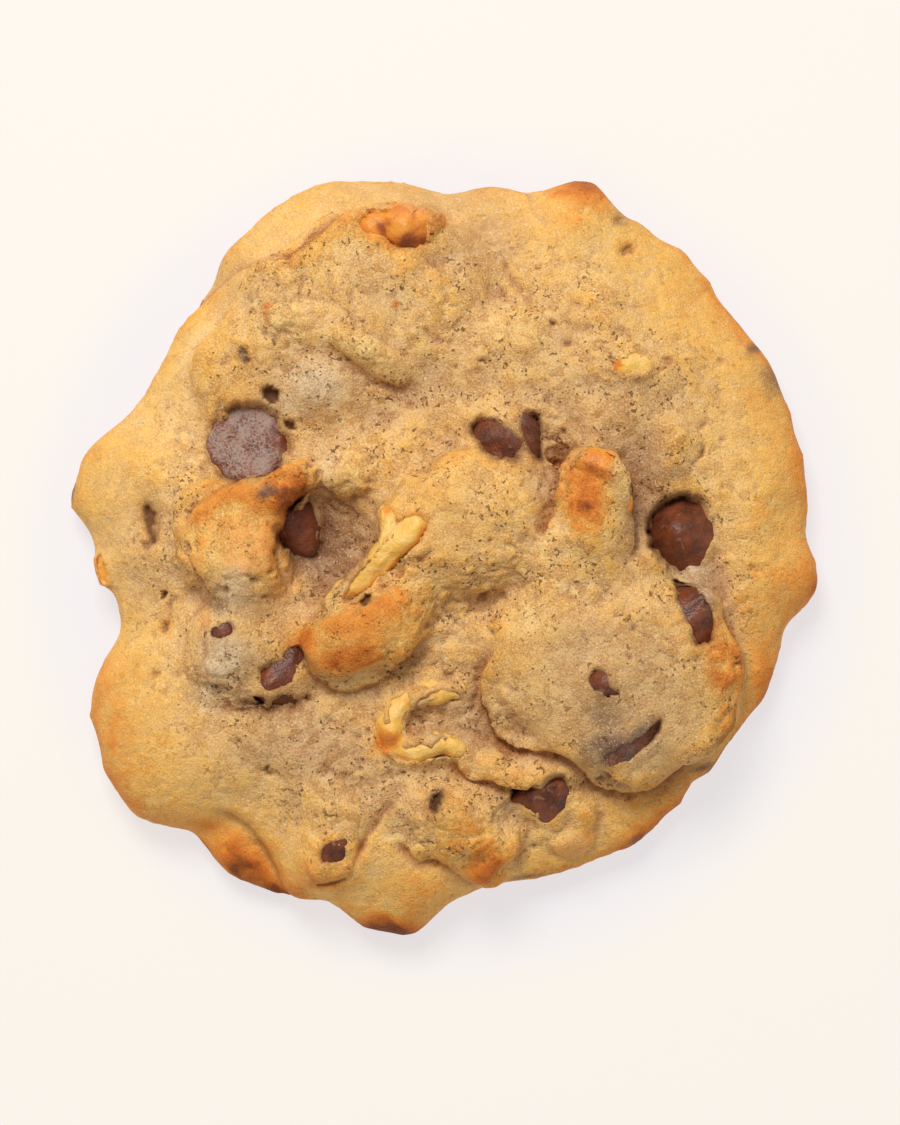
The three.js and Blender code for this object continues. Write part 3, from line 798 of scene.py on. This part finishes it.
FLOURY = [  # pale and dusty, where cocoa butter and flour dried on the crumb
    (320, 386, 30, 22, 0, 0.65), (290, 408, 30, 12, -20, 0.4), (238, 585, 16, 22, 0, 0.45),
    (226, 655, 24, 30, 0, 0.6), (214, 690, 14, 14, 0, 0.5), (692, 570, 24, 12, 0, 0.6),
    (700, 595, 10, 20, 0, 0.5), (650, 740, 24, 18, 40, 0.35), (330, 470, 10, 18, 0, 0.3),
]
BLUSHED = [  # small orange marks of caramel
    (397, 310, 3.5, 3.5, 0, 1.0), (167, 622, 4, 4, 0, 0.8), (274, 316, 9, 5, 20, 0.8),
    (270, 321, 4, 7, 0, 0.7), (206, 623, 3, 5, 0, 0.6), (388, 742, 10, 8, 0, 0.6),
    (303, 641, 8, 8, 0, 0.5),
]


def layer(marks):
    """Ovals of one kind, joined, with ragged edges."""
    total = np.zeros(len(clay.at))
    for *mark, strength in marks:
        total = np.maximum(total, strength * np.exp(-(oval(mark, places) ** 3)))
    return total


def bulge(rounds):
    """How far each vertex stands out of its surroundings, in mm, for surroundings of that many rings."""
    return np.einsum("ij,ij->i", clay.at - clay.mean(clay.at, rounds), clay.normal)


def paint(name, values):
    store(clay.mesh, name, values)
    print(name, "covers", round(float(np.clip(values, 0, 1).mean()), 3))


def bake(rim, underside):
    """How brown each vertex is: more where it is thin, proud, low on the rim or marked, and more on the rim
    towards the south east, which also paints the shade of the side turned from the light.
    """
    across = np.hypot(clay.at[:, 0], clay.at[:, 1])
    low_rim = step(34, 47, across) * (1 - step(3, 13, clay.at[:, 2]))
    # Painted shade on top of the rim's real browning: the rim browns more on the side turned from the light,
    # the south east.
    turned_from_light = 0.5 + 0.5 * np.cos(np.arctan2(clay.at[:, 1], clay.at[:, 0]) + 0.7)  # most to the south east
    clear_of_chips = 1 - np.clip(3 * clay.mean(gap, 6), 0, 1)
    browning = EVEN_BAKE + 0.07 * broad + 0.05 * fine
    browning += 0.06 * low_rim * (0.35 + 0.85 * turned_from_light) + (0.06 + 0.14 * turned_from_light) * rim
    browning += 0.10 * step(0.0, 0.9, broad_bulge)
    browning += 0.08 * np.clip(small_bulge / 0.12, -1, 1.2) * clear_of_chips
    browning += layer(BROWNED) * (1 + 0.25 * fine)
    return np.maximum(browning, underside * (UNDERSIDE_BAKE + 0.12 * broad))


def grey(rim):
    """How pale and greyish each vertex is: more in hollows, partly dough that stayed pale and partly painted
    shade, less on the rim and where it browned.
    """
    # Real paleness together with painted shade: hollows, broad and small, grey more.
    greying_and_shade = layer(GREYED_AND_SHADED) + 0.35 * step(0.0, 0.9, -broad_bulge) * (1 - rim)
    greying_and_shade += 0.2 * step(0.0, 0.35, -bulge(24)) * (1 - 0.5 * rim)
    return greying_and_shade * (1 - np.clip(2.5 * layer(BROWNED), 0, 0.9))


def paint_layers():
    rim = rim_share()
    underside = 1 - step(0.0, 1.0, clay.at[:, 2])
    paint("browning", bake(rim, underside))
    paint("greying_and_shade", grey(rim) * (1 - underside))
    paint("stain", layer(STAINED) * (1 + 0.3 * fine) + 0.3 * np.clip(2 * clay.mean(gap, 6), 0, 1))
    paint("butter", layer(BUTTERED) * (1 + 0.2 * fine))
    paint("blush", layer(BLUSHED))
    paint("flour", layer(FLOURY) * (1 + 0.4 * fine))
    # Painted shade in the deep pits and steam pores.
    paint("hollow", step(0.6, 1.2, pits) + step(0.2, 0.6, pores) * 0.7)
    # Painted shade: darker in small hollows, in the creases under folds and in the gaps round bare chips.
    shade = 0.3 * step(0.06, 0.3, -small_bulge) + 0.55 * np.clip(crease / 1.5, 0, 1)
    paint("crease", shade + 0.4 * clay.mean(gap, 3))
    paint("tornness", 1 - 0.2 * sleek - 0.62 * rim)


broad, fine = noise_at(clay.at, 9, 41), noise_at(clay.at, 2.2, 42)
broad_bulge, small_bulge = bulge(90), bulge(8)
paint_layers()

# %% [markdown]
# The three materials are written as nodes, and a small graph class keeps each of them to a few lines.
# Every texture is measured in millimetres on the piece's own coordinates, so it moves with the piece.

# %% Node helpers
def srgb(r, g, b):
    """A colour picked on a screen, from 0 to 255, as Blender's linear values."""
    shares = np.array([r, g, b]) / 255
    linear = np.where(shares < 0.0404, shares / 12.92, ((shares + 0.055) / 1.055) ** 2.4)
    return (*linear.tolist(), 1.0)


class Graph:
    """A short way to write a material's nodes."""

    def __init__(self, name):
        self.material = bpy.data.materials.new(name)
        self.material.use_nodes = True
        self.tree = self.material.node_tree
        self.shader = self.tree.nodes["Principled BSDF"]
        place = self.node("ShaderNodeTexCoord").outputs["Object"]
        scale = self.node("ShaderNodeVectorMath", operation="SCALE")
        scale.inputs["Scale"].default_value = 1 / MM
        self.link(place, scale.inputs[0])
        self.place = scale.outputs[0]  # the place on the piece in mm

    def node(self, kind, **settings):
        node = self.tree.nodes.new(kind)
        for key, value in settings.items():
            setattr(node, key, value)
        return node

    def link(self, source, target):
        self.tree.links.new(source, target)

    def layer(self, name):
        return self.node("ShaderNodeAttribute", attribute_name=name).outputs["Fac"]

    def math(self, operation, a, b, clamp=False):
        node = self.node("ShaderNodeMath", operation=operation, use_clamp=clamp)
        for socket, value in zip(node.inputs, (a, b)):
            if isinstance(value, (int, float)):
                socket.default_value = value
            else:
                self.link(value, socket)
        return node.outputs[0]

    def plus(self, a, b):
        return self.math("ADD", a, b)

    def minus(self, a, b):
        return self.math("SUBTRACT", a, b)

    def times(self, a, b):
        return self.math("MULTIPLY", a, b)

    def around(self, value, reach):
        """A value from 0 to 1 as one from minus half to plus half of `reach`."""
        return self.times(self.minus(value, 0.5), reach)

    def noise(self, size, detail=3, warp=0.0, output="Fac"):
        """Noise whose swells are about `size` mm wide."""
        node = self.node("ShaderNodeTexNoise")
        node.inputs["Scale"].default_value = 1 / size
        node.inputs["Detail"].default_value = detail
        node.inputs["Distortion"].default_value = warp
        self.link(self.place, node.inputs["Vector"])
        return node.outputs[output]

    def cells(self, size, place, feature="F1"):
        """Uneven cells about `size` mm wide."""
        node = self.node("ShaderNodeTexVoronoi", feature=feature)
        node.inputs["Scale"].default_value = 1 / size
        self.link(place, node.inputs["Vector"])
        return node

    def between(self, low, high, value):
        """0 where value is low, 1 where it is high."""
        node = self.node("ShaderNodeMapRange", interpolation_type="SMOOTHSTEP")
        node.inputs["From Min"].default_value = low
        node.inputs["From Max"].default_value = high
        self.link(value, node.inputs["Value"])
        return node.outputs[0]

    def mix(self, share, a, b, blend="MIX"):
        node = self.node("ShaderNodeMix", data_type="RGBA", blend_type=blend)
        if isinstance(share, (int, float)):
            node.inputs[0].default_value = share
        else:
            self.link(share, node.inputs[0])
        for socket, value in zip((node.inputs[6], node.inputs[7]), (a, b)):
            if isinstance(value, tuple):
                socket.default_value = value
            else:
                self.link(value, socket)
        return node.outputs[2]

    def ramp(self, value, stops):
        node = self.node("ShaderNodeValToRGB")
        elements = node.color_ramp.elements
        while len(elements) < len(stops):
            elements.new(0.5)
        for element, (position, colour) in zip(elements, stops):
            element.position = position
            element.color = colour
        self.link(value, node.inputs[0])
        return node.outputs[0]

    def bump(self, height, distance, strength=1.0):
        node = self.node("ShaderNodeBump")
        node.inputs["Distance"].default_value = distance * MM
        node.inputs["Strength"].default_value = strength
        self.link(height, node.inputs["Height"])
        self.link(node.outputs[0], self.shader.inputs["Normal"])


print("white on a screen is", srgb(255, 255, 255), "in linear light")

# %% [markdown]
# The dough's material mixes the painted layers and adds what is finer than the mesh:
# a sandy grain, pale specks of sugar painted bright as their glints, and painted shade in the pores and in
# the clefts between clumps of crumb.
# A photo texture would be quicker, but a procedural one stays sharp at any distance.

# %% Baked dough
BAKE = [  # browning, and the colour of the crust there
    (0.0, srgb(246, 210, 158)),
    (0.25, srgb(254, 209, 136)),
    (0.45, srgb(255, 197, 102)),
    (0.62, srgb(250, 166, 70)),
    (0.8, srgb(228, 130, 44)),
    (1.0, srgb(140, 70, 22)),
]
# The grey of pale dough, also used as painted shade in hollows.
GREY_BEIGE = srgb(214, 172, 124)
FLOUR = srgb(234, 214, 180)
CHOCOLATE_STAIN = srgb(128, 98, 82)
BUTTER_YELLOW = srgb(255, 216, 142)
CARAMEL = srgb(226, 122, 22)
# Painted shade for holes, clefts, pits and pores.
HOLE_SHADE = srgb(92, 50, 20)
# Painted shade, multiplied into creases, small hollows and the dough round bare chips.
CREASE_SHADE = srgb(206, 158, 112)
# Pale sugar, painted bright enough to stand for its glints as well.
SUGAR_GLINT = srgb(255, 238, 200)
GRAIN = [(0.34, srgb(196, 160, 118)), (0.62, srgb(255, 255, 255))]  # the shade of each grain, multiplied in
CLUMP_WIDTH = 1.3  # mm
SWAY_WIDTH = 5 / 7  # mm, of the noise that makes the clumps uneven
PORE_SPACING = 1.1  # mm between places where a pinhole may be


def torn_clumps(g):
    """Clumps of crumb: a tone for each, the clefts between some of them, and how far to each one's middle."""
    warped = g.node("ShaderNodeVectorMath", operation="MULTIPLY_ADD")
    warped.inputs[1].default_value = (1.1, 1.1, 1.1)
    g.link(g.noise(SWAY_WIDTH, output="Color"), warped.inputs[0])
    g.link(g.place, warped.inputs[2])
    cells = g.cells(CLUMP_WIDTH, warped.outputs[0])
    edges = g.cells(CLUMP_WIDTH, warped.outputs[0], "DISTANCE_TO_EDGE")
    tone = g.node("ShaderNodeSeparateColor")
    g.link(cells.outputs["Color"], tone.inputs[0])
    width = g.times(g.between(0.54, 0.7, g.noise(0.55, 1)), 0.15)
    cleft = g.math("LESS_THAN", edges.outputs["Distance"], width)
    here_and_there = g.between(0.5, 0.6, g.noise(3.2, 2))
    return tone.outputs[0], g.times(cleft, here_and_there), cells.outputs["Distance"]


def steam_pores(g):
    """Pinholes, scattered, with uneven shapes, where the material paints shade."""
    spots = g.cells(PORE_SPACING, g.place)
    near = g.plus(spots.outputs["Distance"], g.around(g.noise(0.3, 2), 0.5))
    hole = g.minus(1.0, g.between(0.03, 0.14, near))
    return g.times(hole, g.between(0.5, 0.56, g.noise(1.5, 2)))


def crust_colour(g, browning):
    """The bake, and over it each painted layer in the order in which it lies on the dough."""
    colour = g.ramp(browning, BAKE)
    colour = g.mix(g.layer("greying_and_shade"), colour, GREY_BEIGE)
    colour = g.mix(g.layer("butter"), colour, BUTTER_YELLOW)
    dusty = g.plus(0.65, g.times(g.noise(0.5, 3), 0.7))
    colour = g.mix(g.math("MULTIPLY", g.layer("stain"), dusty, True), colour, CHOCOLATE_STAIN)
    colour = g.mix(g.layer("blush"), colour, CARAMEL)
    return g.mix(g.layer("flour"), colour, FLOUR)


def baked_dough():
    g = Graph("baked dough")
    clump_tone, clefts, clump = torn_clumps(g)
    browning = g.plus(g.layer("browning"), g.around(g.noise(2.4, 5, 0.4), 0.30))
    browning = g.plus(browning, g.around(clump_tone, 0.08))
    colour = crust_colour(g, browning)
    grain = g.noise(0.24, 4)
    shades = g.ramp(g.plus(g.times(grain, 0.8), g.times(clump_tone, 0.2)), GRAIN)
    rough = g.plus(0.34, g.times(g.layer("tornness"), 0.46))
    colour = g.mix(rough, colour, shades, "MULTIPLY")
    # Pale sugar specks with painted glints, only on the paler crust.
    sugar_glints = g.between(0.62, 0.7, g.noise(0.3, 1))
    pale_crust = g.minus(1.0, g.between(0.45, 0.7, browning))
    colour = g.mix(g.times(sugar_glints, g.times(pale_crust, 0.4)), colour, SUGAR_GLINT)
    # Painted shade in the clefts between clumps, in pinholes and in the pits and pores; the holes dent the
    # bump too.
    holes = g.times(g.math("MAXIMUM", clefts, steam_pores(g)), g.layer("tornness"))
    dark = g.math("MAXIMUM", g.times(holes, 0.75), g.times(g.layer("hollow"), 0.8))
    # Painted shade in creases, small hollows and round bare chips.
    colour = g.mix(g.layer("crease"), colour, CREASE_SHADE, "MULTIPLY")
    g.link(g.mix(dark, colour, HOLE_SHADE), g.shader.inputs["Base Color"])
    g.shader.inputs["Roughness"].default_value = 0.7
    g.shader.inputs["Specular IOR Level"].default_value = 0.3
    height = g.plus(g.times(grain, 0.5), g.times(g.noise(0.7, 3), 0.5))
    height = g.minus(height, g.times(clump, 0.3))
    g.bump(g.minus(height, g.times(holes, 0.8)), 0.34, 0.9)
    return g.material


DOUGH = baked_dough()
print("dough material:", len(DOUGH.node_tree.nodes), "nodes")

# %% [markdown]
# The chips are milk chocolate: warm brown, with the soft shine of cocoa butter that melted and set again.
# Where it cooled slowly, a grey dust of bloom came up, and crumbs of dough left pale smears.
# The bloom is a layer of its own, so that one material serves the bare chips and the dusty one.

# %% Chocolate
COCOA = [(0.3, srgb(76, 32, 11)), (0.7, srgb(138, 66, 30))]
BLOOM_DUST = srgb(176, 148, 132)
CRUMB_SMEAR = srgb(176, 128, 92)


def chocolate():
    g = Graph("chocolate")
    tone = g.ramp(g.noise(2.0, 4), COCOA)
    dust = g.plus(g.times(g.noise(0.28, 4), 0.6), g.times(g.noise(1.6, 4, 0.6), 0.4))
    bloom = g.times(g.layer("bloom"), g.between(0.36, 0.6, dust))
    smear = g.times(g.between(0.6, 0.72, g.noise(1.5, 3, 1.0)), 0.5)
    colour = g.mix(smear, g.mix(bloom, tone, BLOOM_DUST), CRUMB_SMEAR)
    g.link(colour, g.shader.inputs["Base Color"])
    g.link(g.plus(g.times(bloom, 0.4), 0.29), g.shader.inputs["Roughness"])
    g.shader.inputs["Specular IOR Level"].default_value = 0.4
    g.bump(g.plus(g.noise(2.2, 3), g.times(dust, 0.5)), 0.4, 0.9)
    return g.material


CHOCOLATE = chocolate()
print("chocolate material:", len(CHOCOLATE.node_tree.nodes), "nodes")

# %% [markdown]
# Walnut is pale and waxy where it tore, and toasts to orange and brown where the oven reached it.
# How toasted it is comes from a painted layer, broken up by noise as the skin of a kernel is.
# A little light passes into it, which keeps the thin pieces from looking like painted clay.

# %% Walnut
TOASTING = [
    (0.0, srgb(255, 214, 138)),
    (0.3, srgb(255, 196, 88)),
    (0.55, srgb(242, 152, 52)),
    (0.75, srgb(206, 112, 44)),
    (0.95, srgb(132, 62, 26)),
]


def walnut():
    g = Graph("walnut")
    toast = g.plus(g.layer("toast"), g.around(g.noise(2.2, 4, 0.6), 0.6))
    g.link(g.ramp(toast, TOASTING), g.shader.inputs["Base Color"])
    g.shader.inputs["Roughness"].default_value = 0.38
    g.shader.inputs["Subsurface Weight"].default_value = 0.15
    g.shader.inputs["Subsurface Scale"].default_value = 1.0 * MM
    g.bump(g.plus(g.noise(1.0, 4, 0.8), g.times(g.noise(0.25, 2), 0.3)), 0.3, 0.9)
    return g.material


WALNUT = walnut()
print("walnut material:", len(WALNUT.node_tree.nodes), "nodes")

# %% [markdown]
# The chips are ordinary baking morsels, softened by the oven. Each takes the place of its solid,
# cut finer and dented a little, and the one that lay base up has a dusty bloom.
# The nuts are torn kernels, so their copies are dented more.

# %% Chips and nuts
BLOOM = {  # how dusty a chip is, and where it stayed bare
    "chip_bloomed": (0.95, [(286, 438, 15, 20, 0), (216, 472, 12, 16, 30)]),
    "chip_north": (0.2, [(496, 446, 16, 10, -32)]),
    "chip_east": (0.1, []),
    "chip_dome_low": (0.3, []),
    "chip_west_low": (0.05, []),
}
TOAST = {  # how toasted a nut is, and where more
    "walnut_north": (0.6, [(412, 246, 20, 8, 0), (381, 234, 5, 9, 20)]),
    "walnut_fork": (0.22, [(387, 512, 6, 8, 0), (424, 540, 8, 20, -10), (400, 564, 30, 5, 38)]),
    "walnut_hook": (0.24, [(389, 738, 13, 15, 0), (443, 761, 9, 5, 0), (412, 716, 4, 16, 0)]),
    "walnut_peak": (0.58, []),
    "walnut_rim": (0.4, []),
    "walnut_east": (0.2, [(614, 368, 6, 10, 0)]),
}
GROWN = {"walnut_rim": -0.6}  # mm that a nut is grown before it is dented, where it isn't 0.1
MORE_TOAST = 0.36
PLAIN = (0.1, [])  # any other chip or nut
CHIP_DENTS = [(3.0, 0.2), (1.2, 0.12)]  # width and depth in mm
NUT_DENTS = [(3.4, 0.7), (1.6, 0.3), (0.7, 0.1)]
ALL_AXES = {"use_axis_x": True, "use_axis_y": True, "use_axis_z": True}


def refined(node, cuts, relax, dents, grow=0.0):
    """A copy of a node with finer faces, softened edges and dents, as (width, depth) pairs in mm."""
    bm = welded(node, grow)
    bmesh.ops.subdivide_edges(bm, edges=bm.edges, cuts=cuts, use_grid_fill=True)
    bmesh.ops.triangulate(bm, faces=bm.faces)
    for _ in range(relax):
        bmesh.ops.smooth_vert(bm, verts=bm.verts, factor=0.5, **ALL_AXES)
    bm.normal_update()
    for v in bm.verts:
        place = v.co / MM
        v.co += v.normal * MM * sum(depth * noise.noise(place / width) for width, depth in dents)
    return new_piece(node.replace("chip", "chocolate_chip") + "_finished", bm)


def add_layer(piece, name, level, marks, change):
    """A layer that is the same all over, changed by `change` inside its marks."""
    spots = wobble(np.array([v.co for v in piece.data.vertices]) / MM)
    values = np.full(len(spots), level)
    for mark in marks:
        values += change * (1 - step(0.3, 1.3, oval(mark, spots)))
    store(piece.data, name, values)


def finish_piece(piece, slot, material, *nodes):
    for polygon in piece.data.polygons:
        polygon.use_smooth = polygon.center.z > 0  # the flat base keeps one plane of light
    piece.data.materials.clear()
    piece.data.materials.append(material)
    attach(piece, "root")
    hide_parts(*nodes)


for node in CHIPS:
    chip = refined(node, 5, 4, CHIP_DENTS)
    level, bare_spots = BLOOM.get(node, PLAIN)
    add_layer(chip, "bloom", level, bare_spots, -level)
    finish_piece(chip, "chocolate", CHOCOLATE, node)
for node in NUTS:
    nut = refined(node, 3, 4, NUT_DENTS, grow=GROWN.get(node, 0.1))
    level, toasted_spots = TOAST.get(node, PLAIN)
    add_layer(nut, "toast", level, toasted_spots, MORE_TOAST)
    finish_piece(nut, "walnut", WALNUT, node)
finish_piece(dough, "dough", DOUGH, "dough")
print("pieces:", len(CHIPS) + len(NUTS) + 1)
print("dough triangles:", sum(len(p.vertices) - 2 for p in dough.data.polygons))

# %% [markdown]
# The cookie lies on a lit cream table, so its shadow is faint and its rim gets light from below; a pale
# lavender ring painted on the table round it stands for its soft shadow.
# A large window light from the top left draws the relief, and a white room fills the shadows.
# A single hard lamp would draw the crumb more, but the photo has no hard shadow.

# %% Floor and light
CREAM = srgb(252, 246, 237)
# Painted soft shadow: a pale lavender ring on the table round the cookie.
SHADOW_HALO = srgb(244, 241, 243)
FLOOR_GAP = 0.05  # mm below the cookie, so that the two faces never mix
TABLE_SHADE = srgb(137, 137, 137)  # how dark the table is without its glow
TABLE_GLOW = 0.75
WINDOW_AT = (-0.14, 0.47, 0.73)  # metres
WINDOW_SIZE, WINDOW_WATTS = 0.34, 5.6
ROOM_LIGHT = 0.37


def floor():
    bm = bmesh.new()
    bmesh.ops.create_grid(bm, x_segments=1, y_segments=1, size=0.8)
    bmesh.ops.translate(bm, verts=bm.verts, vec=(0, 0, -FLOOR_GAP * MM))
    piece = new_piece("floor", bm)
    g = Graph("lit cream table")
    away = g.node("ShaderNodeVectorMath", operation="LENGTH")
    g.link(g.place, away.inputs[0])
    # The table's colour with the painted shadow ring near the cookie.
    table_and_shadow = g.mix(g.between(46, 58, away.outputs["Value"]), SHADOW_HALO, CREAM)
    g.link(g.mix(1.0, table_and_shadow, TABLE_SHADE, "MULTIPLY"), g.shader.inputs["Base Color"])
    g.link(table_and_shadow, g.shader.inputs["Emission Color"])
    g.shader.inputs["Emission Strength"].default_value = TABLE_GLOW
    g.shader.inputs["Roughness"].default_value = 0.9
    piece.data.materials.append(g.material)


def area_light(name, at, size, power):
    light = bpy.data.objects.new(name, bpy.data.lights.new(name, "AREA"))
    light.data.size = size
    light.data.energy = power
    light.location = at
    light.rotation_euler = (-Vector(at)).to_track_quat("-Z", "Y").to_euler()
    bpy.context.scene.collection.objects.link(light)


floor()
area_light("window", WINDOW_AT, WINDOW_SIZE, WINDOW_WATTS)
world = bpy.data.worlds.new("room")
bpy.context.scene.world = world
world.use_nodes = True
world.node_tree.nodes["Background"].inputs["Color"].default_value = (1, 1, 1, 1)
world.node_tree.nodes["Background"].inputs["Strength"].default_value = ROOM_LIGHT
bpy.context.scene.view_settings.view_transform = "Standard"
print("one window, a white room and a lit table")
